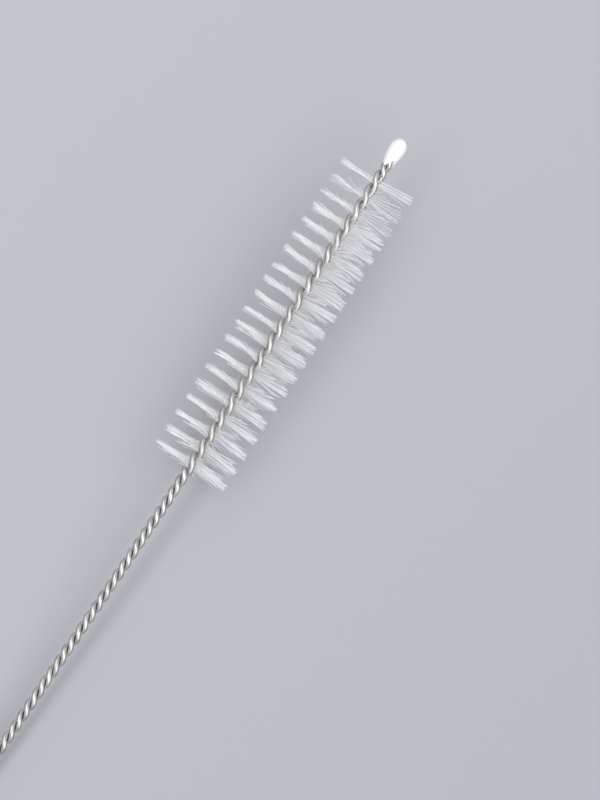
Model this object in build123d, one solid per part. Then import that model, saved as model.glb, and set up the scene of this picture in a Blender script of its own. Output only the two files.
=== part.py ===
from build123d import *
import math
import os

# A test tube brush: one soft steel wire is folded in half, its two legs are twisted together, and
# the twist grips straight nylon filaments, which therefore fan round the axis like a screw.
# The brush is first drawn along X, from the hanging eye at x = 0 to the tip, with its axis on
# y = z = 0 in the head. The stem is bent a little to one side. The brush is then laid down as it
# rests, on the far end of the eye and the first filaments.

# Driving dimensions in millimetres
overall_length = 270.0
brush_diameter = 25.0
bristled_length = 102.0
bare_length = 2.9
wire_diameter = 1.5
eye_inner_diameter = 18.0
eye_arc_half_angle = 125.0
eye_neck_x = 31.5
bulb_length = 9.7
bulb_diameter = 5.0
bulb_mouth_diameter = 3.7
filament_thickness = 0.20

# The twist, counted in half turns of the pair of legs
stem_half_turns = 32
stem_half_pitch_at_eye = 3.75
tuft_count = 20
tip_half_pitch = 3.4
filaments_per_tuft = 16
wire_end_depth = 7.3

# The first half turn stops short by half the turn between two filaments, counted in half turns, so
# that the head lies on the ends of two of them
twist_short_by = 0.5 / filaments_per_tuft

# The stem is bent a little to one side between these places, as a used brush is
bow_start_x = 112.0
bow_end_x = 154.0
bow_degrees = 0.95

# Clearances from the middle of the twist to a bare leg, and from a filament to the legs
leg_clearance = 0.01
grip_clearance = 0.02

# How finely the round wire is drawn
wire_sides = 6
stations_per_half_turn = 4
eye_stations = 13
taper_stations = 6

# The thin last tufts: the filaments that they have, counted from 0 within a half turn
thin_tufts = {
    18: range(0, filaments_per_tuft, 2),
    19: range(1, filaments_per_tuft, 2),
    20: range(6, 11),
}

# Places along the axis
bulb_x = overall_length - bulb_length
bristles_end_x = bulb_x - bare_length
bristles_start_x = bristles_end_x - bristled_length
tuft_pitch = bristled_length / tuft_count
filament_spacing = tuft_pitch / filaments_per_tuft

# The legs run straight from station to station, so they stand off the axis enough to clear the
# middle, or the filaments, half way between two stations
wire_radius = wire_diameter / 2
chord_share = math.cos(math.pi / stations_per_half_turn / 2)
bare_offset = (wire_radius + leg_clearance) / chord_share
gripping_offset = (wire_radius + filament_thickness / 2 + grip_clearance) / chord_share

# The stem: its first half turn starts slowly, and the rest tighten evenly towards the bristles
first_half_turn = 2 * stem_half_pitch_at_eye
stem_length = bristles_start_x - eye_neck_x - first_half_turn
stem_mean_pitch = stem_length / stem_half_turns
stem_tightening = 2 * (stem_half_pitch_at_eye - stem_mean_pitch) / (stem_half_turns - 1)

# The eye
eye_radius = (eye_inner_diameter + wire_diameter) / 2
eye_centre_x = eye_radius + wire_radius * math.cos(math.pi / wire_sides)


def half_turns():
    """The start, length and leg offset of each half turn between the first and the bare tip."""
    x = eye_neck_x + first_half_turn
    spans = []
    for number in range(stem_half_turns):
        pitch = stem_half_pitch_at_eye - stem_tightening * number
        spans.append((x, pitch, bare_offset))
        x += pitch
    for number in range(tuft_count):
        spans.append((x, tuft_pitch, gripping_offset))
        x += tuft_pitch
    return spans


def leg_point(x, offset, half_turn):
    """A point on the middle line of the first leg: the twist is left-handed."""
    angle = -math.pi * half_turn
    return Vector(x, offset * math.cos(angle), offset * math.sin(angle))


def twisted_points():
    """The first leg from the neck of the eye to its cut end inside the tip."""
    points = []
    for step in range(stations_per_half_turn):
        share = step / stations_per_half_turn
        turned = share * (1 - twist_short_by)
        points.append(leg_point(eye_neck_x + first_half_turn * math.sqrt(share), bare_offset, turned))
    last_offset = bare_offset
    for number, (start, pitch, offset) in enumerate(half_turns(), start=1):
        for step in range(stations_per_half_turn):
            share = step / stations_per_half_turn
            wider = offset if step else max(offset, last_offset)
            turned = number + share - twist_short_by
            points.append(leg_point(start + pitch * share, wider, turned))
        last_offset = offset
    for step in range(stations_per_half_turn):
        share = step / stations_per_half_turn
        wider = bare_offset if step else gripping_offset
        turned = 1 + stem_half_turns + tuft_count + share - twist_short_by
        points.append(leg_point(bristles_end_x + tip_half_pitch * share, wider, turned))
    points.append(leg_point(bulb_x + wire_end_depth, bare_offset, turned))
    return points


def eye_half_points():
    """The first half of the eye, from its far end to the neck, without either end point."""
    points = []
    for step in range(1, eye_stations):
        angle = math.radians(eye_arc_half_angle) * step / (eye_stations - 1)
        across = eye_radius * math.sin(angle)
        points.append(Vector(eye_centre_x - eye_radius * math.cos(angle), across, 0))
    arc_end = points[-1]
    slope = math.cos(angle) / math.sin(angle)
    run = eye_neck_x - arc_end.X
    for step in range(1, taper_stations):
        share = step / taper_stations
        blend = share ** 2 * (3 - 2 * share)
        width = arc_end.Y + (bare_offset - arc_end.Y) * blend
        width += slope * run * share * (1 - share) ** 2
        points.append(Vector(arc_end.X + run * share, width, 0))
    return points


def bowed(point):
    """The point moved aside with the stem's slight bend, which leaves the head straight."""
    slope = math.tan(math.radians(bow_degrees))
    bend = bow_end_x - bow_start_x
    ahead = min(max(bow_end_x - point.X, 0), bend)
    beyond = max(bow_start_x - point.X, 0)
    return point + Vector(0, slope * (ahead ** 2 / (2 * bend) + beyond), 0)


def wire_points():
    """The whole wire: in along the first leg, round the eye and out along the second leg."""
    first_leg = eye_half_points() + twisted_points()
    second_leg = [Vector(point.X, -point.Y, -point.Z) for point in first_leg]
    far_end = Vector(eye_centre_x - eye_radius, 0, 0)
    return [bowed(point) for point in first_leg[::-1] + [far_end] + second_leg]


def make_wire():
    """The folded wire, with its section square to the way that it runs at each point."""
    points = wire_points()
    sections = []
    for number, point in enumerate(points):
        before = points[max(number - 1, 0)]
        after = points[min(number + 1, len(points) - 1)]
        plane = Plane(origin=point, x_dir=(0, 0, 1), z_dir=after - before)
        sections.append(plane * RegularPolygon(wire_radius, wire_sides))
    return loft(sections, ruled=True)


def make_tuft(number):
    """The filaments of one half turn, each straight through the axis between the two legs."""
    filaments = []
    start = bristles_start_x + tuft_pitch * (number - 1)
    for place in thin_tufts.get(number, range(filaments_per_tuft)):
        x = start + filament_spacing * place
        turn = 180 * (twist_short_by - place / filaments_per_tuft)
        filament = Box(filament_thickness, filament_thickness, brush_diameter)
        filaments.append(Location((x, 0, 0), (turn, 0, 0)) * filament)
    return Compound(children=filaments)


def make_bulb(wire):
    """The plastic tip: a drop that was dipped over the two cut ends of the wire."""
    bulb_radius = bulb_diameter / 2
    crown_x = overall_length - bulb_radius
    lean = math.degrees(math.atan2(bulb_radius - bulb_mouth_diameter / 2, crown_x - bulb_x))
    crown = CenterArc((crown_x, 0), bulb_radius, 0, 90 + lean)
    mouth = Line((bulb_x, 0), (bulb_x, bulb_mouth_diameter / 2))
    side = Line(mouth @ 1, crown @ 1)
    axis = Line((bulb_x, 0), (overall_length, 0))
    drop = revolve(make_face([mouth, side, crown, axis]), axis=Axis.X)
    return drop - wire


def resting_place(pieces):
    """Lays the brush on z = 0, on the far end of the eye and the first filaments, and centres it."""
    eye_low = Vector(eye_centre_x - eye_radius, 0, -wire_radius)
    turn = math.pi * twist_short_by
    filament_drop = (brush_diameter * math.cos(turn) + filament_thickness * math.sin(turn)) / 2
    filament_low = Vector(bristles_start_x - filament_thickness / 2, 0, -filament_drop)
    reach = filament_low - eye_low
    tilt = math.degrees(math.atan2(-reach.Z, reach.X))
    laid = Location((0, 0, 0), (0, -tilt, 0))
    boxes = [(laid * piece).bounding_box() for piece in pieces]
    middle_x = (min(box.min.X for box in boxes) + max(box.max.X for box in boxes)) / 2
    middle_y = (min(box.min.Y for box in boxes) + max(box.max.Y for box in boxes)) / 2
    low_z = min(box.min.Z for box in boxes)
    return Location((-middle_x, -middle_y, -low_z)) * laid


wire = make_wire()
pieces = {"twisted_wire": wire, "tip_bulb": make_bulb(wire)}
for number in range(1, tuft_count + 1):
    pieces[f"bristle_tuft_{number:02d}"] = make_tuft(number)
rest = resting_place(pieces.values())

os.makedirs("parts", exist_ok=True)
for name, piece in pieces.items():
    export_step(rest * piece, f"parts/{name}.step")
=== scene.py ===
import math
import random

import bpy
from mathutils import Matrix, Vector


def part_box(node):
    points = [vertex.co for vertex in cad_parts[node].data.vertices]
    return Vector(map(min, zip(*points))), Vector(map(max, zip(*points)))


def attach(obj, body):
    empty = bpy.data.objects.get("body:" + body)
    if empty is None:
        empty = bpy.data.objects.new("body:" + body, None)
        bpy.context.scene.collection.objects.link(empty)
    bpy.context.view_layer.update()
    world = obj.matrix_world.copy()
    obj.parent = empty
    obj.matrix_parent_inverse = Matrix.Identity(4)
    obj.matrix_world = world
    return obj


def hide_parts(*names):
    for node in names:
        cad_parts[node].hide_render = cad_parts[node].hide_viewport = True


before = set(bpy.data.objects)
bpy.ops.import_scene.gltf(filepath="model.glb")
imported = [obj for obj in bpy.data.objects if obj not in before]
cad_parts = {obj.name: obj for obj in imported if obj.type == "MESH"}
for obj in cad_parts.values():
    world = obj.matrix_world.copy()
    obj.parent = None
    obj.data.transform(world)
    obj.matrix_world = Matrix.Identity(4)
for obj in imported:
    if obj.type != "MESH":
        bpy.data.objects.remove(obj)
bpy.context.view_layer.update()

# The looks of a test tube brush: round twisted wire, fine nylon filaments and a dipped tip.
# Lengths are in metres. Along the brush they are counted from the far end of the hanging eye.
MM = 0.001
DEG = math.pi / 180

# Driving dimensions, as the solids have them. The first half turn is longer by the slow start
OVERALL_LENGTH = 270.0 * MM
BRUSH_RADIUS = 12.5 * MM
BRISTLED_LENGTH = 102.0 * MM
BARE_LENGTH = 2.9 * MM
WIRE_RADIUS = 0.75 * MM
EYE_RADIUS = 9.65 * MM
EYE_ARC_HALF_ANGLE = 125 * DEG
EYE_NECK_X = 31.5 * MM
EYE_CENTRE_X = 10.4 * MM
BULB_LENGTH = 9.7 * MM
BULB_RADIUS = 2.5 * MM
STEM_HALF_TURNS = 32
STEM_HALF_PITCH_AT_EYE = 3.75 * MM
SLOW_START = 2
TUFT_COUNT = 20
TIP_HALF_PITCH = 3.4 * MM
TWIST_SHORT_BY = 1 / 32
BOW_START_X = 112.0 * MM
BOW_END_X = 154.0 * MM
BOW_SLOPE = math.tan(0.95 * DEG)
LAST_FULL_TUFT = 17

# Places along the axis
BULB_X = OVERALL_LENGTH - BULB_LENGTH
BRISTLES_END_X = BULB_X - BARE_LENGTH
BRISTLES_START_X = BRISTLES_END_X - BRISTLED_LENGTH
TUFT_PITCH = BRISTLED_LENGTH / TUFT_COUNT
FIRST_HALF_TURN = SLOW_START * STEM_HALF_PITCH_AT_EYE
STEM_LENGTH = BRISTLES_START_X - EYE_NECK_X - FIRST_HALF_TURN
STEM_MEAN_PITCH = STEM_LENGTH / STEM_HALF_TURNS
STEM_TIGHTENING = 2 * (STEM_HALF_PITCH_AT_EYE - STEM_MEAN_PITCH) / (STEM_HALF_TURNS - 1)

# The wire as it is drawn here: the legs touch in the stem and part for the filaments
BARE_OFFSET = 0.765 * MM
GRIPPING_OFFSET = 0.87 * MM
PARTING_LENGTH = 2.2 * MM
END_HALF_TURNS = 3
WIRE_SIDES = 14
STATIONS_PER_HALF_TURN = 10
EYE_STATIONS = 40
TAPER_STATIONS = 16
WIRE_END_X = BULB_X + 6.0 * MM

# The filaments as they are drawn here. A thin tuft gives where in its half turn the filaments
# start and end, and how many there are. A scatter gives how far filaments stray, as slopes
FILAMENT_RADIUS = 0.075 * MM
FILAMENT_SIDES = 5
FILAMENT_STEPS = 5
FILAMENTS_PER_TUFT = 66
THIN_TUFTS = {18: (0.0, 1.0, 26), 19: (0.0, 1.0, 22), 20: (0.36, 0.66, 12)}
CLUMPS_PER_TUFT = 8
GATHERING = 0.3
GRIP_SHARE = 0.72
CLUMP_SCATTER = {"lean": 0.032, "sway": 0.045, "bend": 0.0, "curl": 0.0}
FILAMENT_SCATTER = {"lean": 0.025, "sway": 0.03, "bend": 0.015, "curl": 0.02}
FILAMENT_SLIP = 0.3 * MM
LONGEST_REACH = 0.99
SHORTEST_REACH = 0.95
HANDLE_LEAN = 0.05
LEANING_TUFTS = 4
SEED = 42

# The tip as it is drawn here: its coating starts lower in the grooves between the two legs
BULB_SIDES = 64
BULB_RINGS = 48
COAT_THICKNESS = 0.12 * MM
CROWN_X = BULB_X + 6.4 * MM
MOUTH_RADIUS = 1.25 * MM
MOUTH_TAPER = 1.7
GROOVE_RADIUS = 1.0 * MM
FINGER_LENGTH = 2.4 * MM
FINGER_FADE = 3.2 * MM

# The photograph's frame in pixels, and where two places of the brush's axis lie in it
PHOTO_WIDTH = 600
PHOTO_HEIGHT = 800
PHOTO_TIP = (403.5, 139.7)
PHOTO_HEAD = (192.6, 462.3)
PHOTO_HEAD_X = 158.0 * MM

# The camera looks down from the handle's side, which shows one side's tufts edge on
CAMERA_DISTANCE = 0.65
CAMERA_LEAN = 12.5 * DEG
CAMERA_CLIP = (0.01, 10.0)
CAMERA_FITS = 12
FIRST_HALF_HEIGHT = 0.1165

# Surfaces, as values of their shaders, and colours, each with its place on a ramp
STEEL_SURFACE = {"Metallic": 1.0, "Specular Tint": (0.25, 0.24, 0.23, 1)}
STEEL_COLOURS = [(0.3, (0.47, 0.455, 0.44, 1)), (0.7, (0.64, 0.625, 0.605, 1))]
STEEL_PATCHES = {"Scale": 420.0, "Detail": 3.0}
STEEL_STREAKS = {"Scale": 1.0, "Detail": 4.0}
STREAK_STRETCH = (14.0, 0.47, 1.0)
STEEL_ROUGHNESS = {"To Min": 0.2, "To Max": 0.42}
STEEL_BUMP = {"Strength": 0.25, "Distance": 0.05 * MM}
# The painted shade that darkens the wire's colour where its own surface hides it, where the legs
# meet: how far it looks and with how many rays
GROOVE_SHADE_REACH = 0.4 * WIRE_RADIUS
GROOVE_SHADE_SAMPLES = 8
NYLON_SURFACE = {"Transmission Weight": 0.1, "Roughness": 0.32, "IOR": 1.53}
# Nylon's white from each filament's middle to its ends, with painted light in it: a brighter cream
# near the axis stands in for light glowing through the roots, and a faint cool tint outwards for the
# cool lamp
NYLON_WHITE_AND_PAINTED_LIGHT = [(0.1, (0.97, 0.955, 0.935, 1)), (0.45, (0.95, 0.95, 0.96, 1)),
                 (1.0, (0.97, 0.97, 0.98, 1))]
NYLON_COVER = {"To Min": 0.35, "To Max": 0.5}
PLASTIC_SURFACE = {"Roughness": 0.4}
PLASTIC_COLOURS = [(0.0, (0.72, 0.72, 0.73, 1)), (1.0, (0.78, 0.78, 0.79, 1))]
PLASTIC_CLOUDS = {"Scale": 500.0}
PLASTIC_BUMP = {"Strength": 0.12, "Distance": 0.05 * MM}
FLOOR_SURFACE = {"Roughness": 0.75}
# The floor's grey at its dim and bright ends, and the way and length of the fade between them: a
# painted pool of light that brightens the floor a little towards one side
FLOOR_PAINTED_LIGHT_COLOURS = [(0.0, (0.305, 0.315, 0.340, 1)), (1.0, (0.386, 0.391, 0.406, 1))]
FLOOR_PAINTED_LIGHT_WAY = 71 * DEG
FLOOR_PAINTED_LIGHT_LENGTH = 0.4

# The stage: where each lamp is, seen from the brush, and what it gives
FLOOR_SIZE = 3.0
ROOM_COLOUR = (0.90, 0.92, 0.96, 1)
ROOM_STRENGTH = 0.82
LEFT_LAMP = {"way": (-0.08, 0.32, 0.94), "distance": 1.6, "width": 0.65, "length": 2.6,
             "brightness": 2.45, "colour": (1.0, 0.985, 0.965)}
RIGHT_LAMP = {"way": (-0.18, -0.62, 0.76), "distance": 1.8, "width": 1.3, "length": 2.8,
              "brightness": 2.0, "colour": (0.975, 0.985, 1.0)}


def brush_axis():
    """The frame of the brush's straight head, from where the solids lie."""
    first_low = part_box("bristle_tuft_01")[0]
    late_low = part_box(f"bristle_tuft_{LAST_FULL_TUFT:02d}")[0]
    tilt = math.asin((late_low.z - first_low.z) / ((LAST_FULL_TUFT - 1) * TUFT_PITCH))
    low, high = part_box("tip_bulb")
    crown = Vector((high.x - BULB_RADIUS, (low.y + high.y) / 2, high.z - BULB_RADIUS))
    along = Vector((math.cos(tilt), 0, math.sin(tilt)))
    start = crown - along * (OVERALL_LENGTH - BULB_RADIUS)
    return Matrix.Translation(start) @ Matrix.Rotation(-tilt, 4, "Y")


AXIS = brush_axis()


def smooth(share):
    """A share from 0 to 1 that starts and ends gently."""
    share = min(max(share, 0.0), 1.0)
    return share * share * (3 - 2 * share)


# The camera
def make_camera():
    """A camera that puts the brush on the same two pixels as the photograph."""
    data = bpy.data.cameras.new("camera")
    camera = bpy.data.objects.new("camera", data)
    bpy.context.collection.objects.link(camera)
    bpy.context.scene.camera = camera
    data.sensor_fit = "VERTICAL"
    data.clip_start, data.clip_end = CAMERA_CLIP
    tip = AXIS @ Vector((OVERALL_LENGTH, 0, 0))
    head = AXIS @ Vector((PHOTO_HEAD_X, 0, 0))
    wanted = [Vector(PHOTO_TIP), Vector(PHOTO_HEAD)]
    wanted_span = wanted[0] - wanted[1]
    slant = math.atan2(wanted_span.x, -wanted_span.y)
    up = Vector((math.cos(slant), math.sin(slant), 0))
    back = Vector((0, 0, math.cos(CAMERA_LEAN))) - up * math.sin(CAMERA_LEAN)
    up = (up - back * up.dot(back)).normalized()
    right = up.cross(back)
    target = (tip + head) / 2
    half_height = FIRST_HALF_HEIGHT
    # Each round zooms, turns and moves the camera until both places fall on their pixels
    for _ in range(CAMERA_FITS):
        place = target + back * CAMERA_DISTANCE
        seen = []
        for point in (tip, head):
            away = point - place
            scale = CAMERA_DISTANCE / -away.dot(back) * PHOTO_HEIGHT / 2 / half_height
            seen.append(Vector((PHOTO_WIDTH / 2 + away.dot(right) * scale,
                                PHOTO_HEIGHT / 2 - away.dot(up) * scale)))
        seen_span = seen[0] - seen[1]
        half_height *= seen_span.length / wanted_span.length
        turn = math.atan2(seen_span.y, seen_span.x) - math.atan2(wanted_span.y, wanted_span.x)
        rotation = Matrix.Rotation(-turn, 3, back)
        up = rotation @ up
        right = rotation @ right
        shift = (seen[0] + seen[1] - wanted[0] - wanted[1]) / 2
        size = half_height / (PHOTO_HEIGHT / 2)
        target += right * shift.x * size - up * shift.y * size
    camera.location = target + back * CAMERA_DISTANCE
    camera.rotation_mode = "QUATERNION"
    camera.rotation_quaternion = Matrix((right, up, back)).transposed().to_quaternion()
    data.angle_y = 2 * math.atan(half_height / CAMERA_DISTANCE)


# Meshes
def add_object(name, mesh_parts, material, node):
    """A smooth mesh piece that stands for one CAD node."""
    vertices, faces, runs = mesh_parts
    mesh = bpy.data.meshes.new(name)
    mesh.from_pydata(vertices, [], faces)
    mesh.update()
    if runs:
        layer = mesh.uv_layers.new(name="run")
        for loop in mesh.loops:
            layer.data[loop.index].uv = runs[loop.vertex_index]
    mesh.polygons.foreach_set("use_smooth", [True] * len(mesh.polygons))
    mesh.materials.append(material)
    piece = bpy.data.objects.new(name, mesh)
    bpy.context.collection.objects.link(piece)
    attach(piece, "root")
    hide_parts(node)


def add_tube(mesh_parts, path, radius, sides):
    """Adds a closed round tube along a path, with the millimetres run along it beside each corner."""
    vertices, faces, runs = mesh_parts
    first = len(vertices)
    side = (path[1] - path[0]).orthogonal()
    run = 0.0
    for number, point in enumerate(path):
        before = path[max(number - 1, 0)]
        after = path[min(number + 1, len(path) - 1)]
        forward = (after - before).normalized()
        side = (side - forward * side.dot(forward)).normalized()
        other = forward.cross(side)
        run += (point - before).length / MM
        for corner in range(sides):
            angle = 2 * math.pi * corner / sides
            vertices.append(point + (side * math.cos(angle) + other * math.sin(angle)) * radius)
            runs.append((corner / sides, run))
    add_rings(faces, first, len(path), sides)


def add_rings(faces, first, ring_count, sides):
    """Joins rings of corners into a closed skin."""
    for ring in range(ring_count - 1):
        for corner in range(sides):
            near = first + ring * sides + corner
            next_near = first + ring * sides + (corner + 1) % sides
            faces.append((near, next_near, next_near + sides, near + sides))
    last = first + (ring_count - 1) * sides
    faces.append(tuple(first + corner for corner in reversed(range(sides))))
    faces.append(tuple(last + corner for corner in range(sides)))


# The wire
def half_turn_starts():
    """The start and length of each half turn, from the neck of the eye to inside the tip."""
    pitches = [STEM_HALF_PITCH_AT_EYE - STEM_TIGHTENING * number for number in range(STEM_HALF_TURNS)]
    pitches += [TUFT_PITCH] * TUFT_COUNT + [TIP_HALF_PITCH] * END_HALF_TURNS
    x = EYE_NECK_X + FIRST_HALF_TURN
    spans = []
    for pitch in pitches:
        spans.append((x, pitch))
        x += pitch
    return spans


def leg_offset(x):
    """How far a leg's middle line is from the axis at a place along the brush."""
    parting = smooth((x - BRISTLES_START_X) / PARTING_LENGTH + 1)
    closing = smooth((x - BRISTLES_END_X) / PARTING_LENGTH)
    return BARE_OFFSET + (GRIPPING_OFFSET - BARE_OFFSET) * (parting - closing)


def leg_point(x, half_turn):
    """A point on the middle line of the first leg: the twist is left-handed."""
    angle = -math.pi * half_turn
    offset = leg_offset(x)
    return Vector((x, offset * math.cos(angle), offset * math.sin(angle)))


def bowed(point):
    """The point moved aside with the stem's slight bend, which leaves the head straight."""
    bend = BOW_END_X - BOW_START_X
    ahead = min(max(BOW_END_X - point.x, 0), bend)
    beyond = max(BOW_START_X - point.x, 0)
    return point + Vector((0, BOW_SLOPE * (ahead ** 2 / (2 * bend) + beyond), 0))


def first_leg():
    """The first leg, from the far end of the eye to its end inside the tip."""
    points = []
    for step in range(1, EYE_STATIONS + 1):
        angle = EYE_ARC_HALF_ANGLE * step / EYE_STATIONS
        points.append(Vector((EYE_CENTRE_X - EYE_RADIUS * math.cos(angle),
                              EYE_RADIUS * math.sin(angle), 0)))
    arc_end = points[-1]
    slope = math.cos(EYE_ARC_HALF_ANGLE) / math.sin(EYE_ARC_HALF_ANGLE)
    run = EYE_NECK_X - arc_end.x
    for step in range(1, TAPER_STATIONS):
        share = step / TAPER_STATIONS
        width = arc_end.y + (BARE_OFFSET - arc_end.y) * smooth(share)
        width += slope * run * share * (1 - share) ** 2
        points.append(Vector((arc_end.x + run * share, width, 0)))
    first_steps = STATIONS_PER_HALF_TURN * SLOW_START
    for step in range(first_steps):
        share = step / first_steps
        x = EYE_NECK_X + FIRST_HALF_TURN * math.sqrt(share)
        points.append(leg_point(x, share * (1 - TWIST_SHORT_BY)))
    for number, (start, pitch) in enumerate(half_turn_starts(), start=1):
        for step in range(STATIONS_PER_HALF_TURN):
            share = step / STATIONS_PER_HALF_TURN
            x = start + pitch * share
            if x < WIRE_END_X:
                points.append(leg_point(x, number + share - TWIST_SHORT_BY))
    return points


def make_wire(material):
    """The folded wire, round and twisted, in place of its solid."""
    leg = first_leg()
    other = [Vector((point.x, -point.y, -point.z)) for point in leg]
    path = leg[::-1] + [Vector((EYE_CENTRE_X - EYE_RADIUS, 0, 0))] + other
    wire = ([], [], [])
    add_tube(wire, [AXIS @ bowed(point) for point in path], WIRE_RADIUS, WIRE_SIDES)
    add_object("wire", wire, material, "twisted_wire")


# The filaments
def scattered(scatter, chance):
    """One draw of each way in which a filament or a clump strays."""
    return {way: chance.gauss(0, spread) for way, spread in scatter.items()}


def filament_half(angle, sign, strays, reach):
    """The points of one half of a filament, from the axis outwards."""
    across = Vector((0, math.sin(angle), math.cos(angle))) * sign
    sideways = Vector((0, math.cos(angle), -math.sin(angle)))
    along = Vector((1, 0, 0))
    points = []
    for step in range(FILAMENT_STEPS + 1):
        share = step / FILAMENT_STEPS
        out = BRUSH_RADIUS * share
        lean = sum(stray["lean"] + stray["bend"] * share for stray in strays)
        sway = sum(stray["sway"] + stray["curl"] * share for stray in strays)
        points.append((across + along * lean + sideways * sway) * out)
    fit = BRUSH_RADIUS * reach / math.hypot(points[-1].y, points[-1].z)
    return [Vector((point.x, point.y * fit, point.z * fit)) for point in points]


def filament_path(share, clump, handle_lean, chance):
    """The points of one filament, from end to end, in the clump that it belongs to."""
    angle = math.pi * (share - TWIST_SHORT_BY)
    gathering = GATHERING * ((int(share * CLUMPS_PER_TUFT) + 0.5) / CLUMPS_PER_TUFT - share)
    halves = []
    for sign in (-1, 1):
        stray = scattered(FILAMENT_SCATTER, chance)
        stray["lean"] += handle_lean + gathering * TUFT_PITCH / BRUSH_RADIUS
        stray["sway"] += gathering * math.pi * sign
        reach = chance.uniform(SHORTEST_REACH, LONGEST_REACH)
        halves.append(filament_half(angle, sign, (clump[sign], stray), reach))
    return halves[0][::-1] + halves[1][1:]


def make_tuft(number, material, chance):
    """The filaments of one half turn, in clumps that stray together."""
    start_share, end_share, count = THIN_TUFTS.get(number, (0.0, 1.0, FILAMENTS_PER_TUFT))
    start = BRISTLES_START_X + TUFT_PITCH * (number - 1)
    handle_lean = -HANDLE_LEAN * max(0.0, 1 - (number - 1) / LEANING_TUFTS)
    clumps = []
    for _ in range(CLUMPS_PER_TUFT):
        clumps.append({sign: scattered(CLUMP_SCATTER, chance) for sign in (-1, 1)})
    tuft = ([], [], [])
    for place in range(count):
        share = start_share + (end_share - start_share) * (place + 0.5) / count
        path = filament_path(share, clumps[int(share * CLUMPS_PER_TUFT)], handle_lean, chance)
        x = start + TUFT_PITCH * (0.5 + (share - 0.5) * GRIP_SHARE) + chance.gauss(0, FILAMENT_SLIP)
        middle = Vector((x, 0, 0))
        add_tube(tuft, [AXIS @ (point + middle) for point in path], FILAMENT_RADIUS, FILAMENT_SIDES)
    add_object(f"tuft_{number:02d}", tuft, material, f"bristle_tuft_{number:02d}")


# The tip
def drop_radius(x):
    """The radius of the plain drop at a place along the brush."""
    if x > CROWN_X:
        past = (x - CROWN_X) / (OVERALL_LENGTH - CROWN_X)
        return BULB_RADIUS * math.sqrt(max(0.0, 1 - past ** 2))
    share = (CROWN_X - x) / (CROWN_X - BULB_X)
    return BULB_RADIUS - (BULB_RADIUS - MOUTH_RADIUS) * share ** MOUTH_TAPER


def legs_turned(x):
    """How far the pair of legs has turned at a place past the filaments."""
    half_turns = 1 + STEM_HALF_TURNS + TUFT_COUNT - TWIST_SHORT_BY
    return -math.pi * (half_turns + (x - BRISTLES_END_X) / TIP_HALF_PITCH)


def pair_radius(angle, x):
    """How far the coated pair of legs reaches in a direction, with its groove partly filled."""
    aside = abs(math.cos(angle - legs_turned(x)))
    across = BARE_OFFSET * math.sqrt(1 - aside ** 2)
    coated = WIRE_RADIUS + COAT_THICKNESS
    return max(BARE_OFFSET * aside + math.sqrt(max(coated ** 2 - across ** 2, 0.0)), GROOVE_RADIUS)


def make_tip(material):
    """The dipped drop, with its coating drawn down between the two legs."""
    tip = ([], [], [])
    vertices, faces, _ = tip
    mouth_turned = legs_turned(BULB_X + FINGER_LENGTH / 2)
    for ring in range(BULB_RINGS + 1):
        share = math.sin(math.pi / 2 * ring / BULB_RINGS)
        for corner in range(BULB_SIDES):
            angle = 2 * math.pi * corner / BULB_SIDES
            mouth_x = BULB_X + FINGER_LENGTH * math.cos(angle - mouth_turned) ** 2
            x = mouth_x + (OVERALL_LENGTH - mouth_x) * share
            pair = pair_radius(angle, x)
            if ring == 0:
                radius = pair - 2 * COAT_THICKNESS
            else:
                pair *= 1 - smooth((x - BULB_X - FINGER_LENGTH) / FINGER_FADE)
                radius = min(max(drop_radius(x), pair), BULB_RADIUS)
            vertices.append(AXIS @ Vector((x, radius * math.cos(angle), radius * math.sin(angle))))
    add_rings(faces, 0, BULB_RINGS + 1, BULB_SIDES)
    add_object("tip", tip, material, "tip_bulb")


# Materials
def set_inputs(node, values):
    """Sets values on the sockets that they name."""
    for socket, value in values.items():
        node.inputs[socket].default_value = value


def new_material(name, surface):
    """A material, with its node tree and its shader."""
    material = bpy.data.materials.new(name)
    material.use_nodes = True
    tree = material.node_tree
    shader = tree.nodes["Principled BSDF"]
    set_inputs(shader, surface)
    return material, tree, shader


def add_node(tree, kind, values):
    """A node with values on its sockets."""
    node = tree.nodes.new(kind)
    set_inputs(node, values)
    return node


def add_ramp(tree, stops):
    """A colour ramp from pairs of a place and a colour."""
    ramp = tree.nodes.new("ShaderNodeValToRGB")
    elements = ramp.color_ramp.elements
    while len(elements) < len(stops):
        elements.new(0.5)
    for element, (place, colour) in zip(elements, stops):
        element.position = place
        element.color = colour
    return ramp


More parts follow.
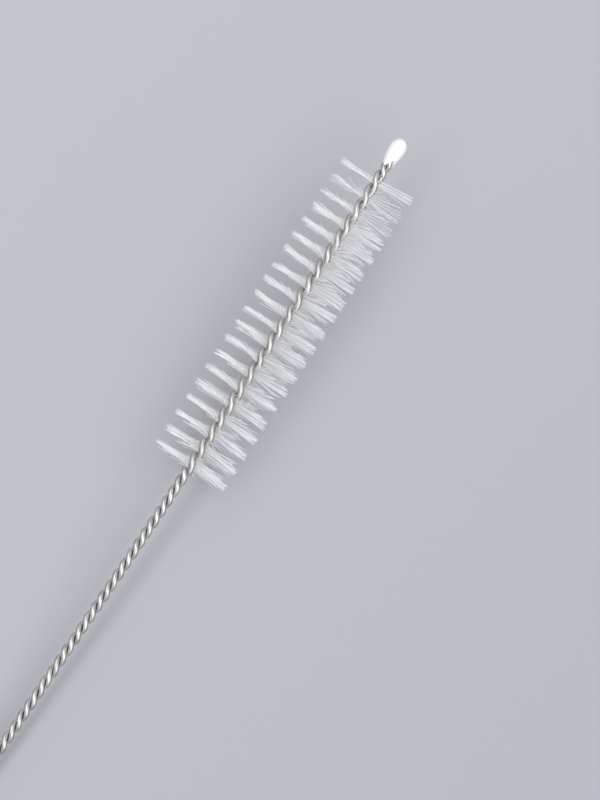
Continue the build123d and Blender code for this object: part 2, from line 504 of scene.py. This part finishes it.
def steel_material():
    """Bright drawn wire: fine streaks along it, small dull patches and painted shade where the two
    legs meet.
    """
    material, tree, shader = new_material("steel", STEEL_SURFACE)
    run = tree.nodes.new("ShaderNodeUVMap")
    run.uv_map = "run"
    stretch = add_node(tree, "ShaderNodeMapping", {"Scale": STREAK_STRETCH})
    streaks = add_node(tree, "ShaderNodeTexNoise", STEEL_STREAKS)
    place = tree.nodes.new("ShaderNodeTexCoord")
    patches = add_node(tree, "ShaderNodeTexNoise", STEEL_PATCHES)
    colour = add_ramp(tree, STEEL_COLOURS)
    # Painted shade: the wire's colour is darkened where its own surface hides it, where the two legs
    # meet
    painted_groove_shade = add_node(tree, "ShaderNodeAmbientOcclusion", {"Distance": GROOVE_SHADE_REACH})
    painted_groove_shade.samples = GROOVE_SHADE_SAMPLES
    painted_groove_shade.only_local = True
    rough = add_node(tree, "ShaderNodeMapRange", STEEL_ROUGHNESS)
    bump = add_node(tree, "ShaderNodeBump", STEEL_BUMP)
    tree.links.new(run.outputs["UV"], stretch.inputs["Vector"])
    tree.links.new(stretch.outputs["Vector"], streaks.inputs["Vector"])
    tree.links.new(place.outputs["Object"], patches.inputs["Vector"])
    tree.links.new(patches.outputs["Fac"], colour.inputs["Fac"])
    tree.links.new(colour.outputs["Color"], painted_groove_shade.inputs["Color"])
    tree.links.new(painted_groove_shade.outputs["Color"], shader.inputs["Base Color"])
    tree.links.new(streaks.outputs["Fac"], rough.inputs["Value"])
    tree.links.new(rough.outputs["Result"], shader.inputs["Roughness"])
    tree.links.new(streaks.outputs["Fac"], bump.inputs["Height"])
    tree.links.new(bump.outputs["Normal"], shader.inputs["Normal"])
    return material


def nylon_material():
    """White nylon that lets light through, more so near the middle of each filament, where a brighter
    cream is painted as glow; further out it carries a faint painted cool tint.
    """
    material, tree, shader = new_material("nylon", NYLON_SURFACE)
    run = tree.nodes.new("ShaderNodeUVMap")
    run.uv_map = "run"
    parts = tree.nodes.new("ShaderNodeSeparateXYZ")
    from_middle = tree.nodes.new("ShaderNodeMath")
    from_middle.operation = "SUBTRACT"
    from_middle.inputs[1].default_value = BRUSH_RADIUS / MM
    reach = tree.nodes.new("ShaderNodeMath")
    reach.operation = "ABSOLUTE"
    share = add_node(tree, "ShaderNodeMapRange", {"From Max": BRUSH_RADIUS / MM})
    # The ramp paints a brighter cream glow near the axis and a faint cool tint further out
    colour = add_ramp(tree, NYLON_WHITE_AND_PAINTED_LIGHT)
    cover = add_node(tree, "ShaderNodeMapRange", NYLON_COVER)
    tree.links.new(run.outputs["UV"], parts.inputs["Vector"])
    tree.links.new(parts.outputs["Y"], from_middle.inputs[0])
    tree.links.new(from_middle.outputs["Value"], reach.inputs[0])
    tree.links.new(reach.outputs["Value"], share.inputs["Value"])
    tree.links.new(share.outputs["Result"], colour.inputs["Fac"])
    tree.links.new(share.outputs["Result"], cover.inputs["Value"])
    tree.links.new(colour.outputs["Color"], shader.inputs["Base Color"])
    tree.links.new(cover.outputs["Result"], shader.inputs["Alpha"])
    return material


def plastic_material():
    """Smooth white dipped plastic with a faint unevenness."""
    material, tree, shader = new_material("white_plastic", PLASTIC_SURFACE)
    place = tree.nodes.new("ShaderNodeTexCoord")
    cloud = add_node(tree, "ShaderNodeTexNoise", PLASTIC_CLOUDS)
    colour = add_ramp(tree, PLASTIC_COLOURS)
    bump = add_node(tree, "ShaderNodeBump", PLASTIC_BUMP)
    tree.links.new(place.outputs["Object"], cloud.inputs["Vector"])
    tree.links.new(cloud.outputs["Fac"], colour.inputs["Fac"])
    tree.links.new(colour.outputs["Color"], shader.inputs["Base Color"])
    tree.links.new(cloud.outputs["Fac"], bump.inputs["Height"])
    tree.links.new(bump.outputs["Normal"], shader.inputs["Normal"])
    return material


def floor_material():
    """Plain pale grey with a painted pool of light that brightens it a little to one side."""
    material, tree, shader = new_material("floor_grey", FLOOR_SURFACE)
    place = tree.nodes.new("ShaderNodeTexCoord")
    # The painted pool of light: the grey brightens across the floor along one way
    turned = add_node(tree, "ShaderNodeMapping", {"Rotation": (0, 0, FLOOR_PAINTED_LIGHT_WAY)})
    turned.vector_type = "TEXTURE"
    parts = tree.nodes.new("ShaderNodeSeparateXYZ")
    share = add_node(tree, "ShaderNodeMapRange",
                     {"From Min": -FLOOR_PAINTED_LIGHT_LENGTH / 2, "From Max": FLOOR_PAINTED_LIGHT_LENGTH / 2})
    colour = add_ramp(tree, FLOOR_PAINTED_LIGHT_COLOURS)
    tree.links.new(place.outputs["Object"], turned.inputs["Vector"])
    tree.links.new(turned.outputs["Vector"], parts.inputs["Vector"])
    tree.links.new(parts.outputs["X"], share.inputs["Value"])
    tree.links.new(share.outputs["Result"], colour.inputs["Fac"])
    tree.links.new(colour.outputs["Color"], shader.inputs["Base Color"])
    return material


# The stage
def make_floor():
    """A plain pale floor under the brush."""
    half = FLOOR_SIZE / 2
    mesh = bpy.data.meshes.new("floor")
    mesh.from_pydata([(-half, -half, 0), (half, -half, 0), (half, half, 0), (-half, half, 0)],
                     [], [(0, 1, 2, 3)])
    mesh.materials.append(floor_material())
    floor = bpy.data.objects.new("floor", mesh)
    bpy.context.collection.objects.link(floor)


def add_softbox(name, lamp_values, target):
    """A long area lamp that looks at the brush and lies along it."""
    length, width = lamp_values["length"], lamp_values["width"]
    data = bpy.data.lights.new(name, "AREA")
    data.shape = "RECTANGLE"
    data.size = length
    data.size_y = width
    data.energy = lamp_values["brightness"] * math.pi * length * width
    data.color = lamp_values["colour"]
    lamp = bpy.data.objects.new(name, data)
    bpy.context.collection.objects.link(lamp)
    way = Vector(lamp_values["way"]).normalized()
    lamp.location = target + way * lamp_values["distance"]
    along = Vector((1, 0, 0))
    along = (along - way * along.dot(way)).normalized()
    lamp.rotation_mode = "QUATERNION"
    lamp.rotation_quaternion = Matrix((along, way.cross(along), way)).transposed().to_quaternion()


def make_light():
    """A long soft lamp on each side of the brush, in a pale room."""
    target = AXIS @ Vector((PHOTO_HEAD_X, 0, 0))
    add_softbox("left_lamp", LEFT_LAMP, target)
    add_softbox("right_lamp", RIGHT_LAMP, target)
    world = bpy.data.worlds.new("room")
    bpy.context.scene.world = world
    world.use_nodes = True
    background = world.node_tree.nodes["Background"]
    background.inputs["Color"].default_value = ROOM_COLOUR
    background.inputs["Strength"].default_value = ROOM_STRENGTH


make_camera()
make_floor()
make_light()

steel = steel_material()
nylon = nylon_material()
white_plastic = plastic_material()
make_wire(steel)
make_tip(white_plastic)
chance = random.Random(SEED)
for tuft_number in range(1, TUFT_COUNT + 1):
    make_tuft(tuft_number, nylon, chance)

bpy.context.scene.view_settings.view_transform = "Standard"
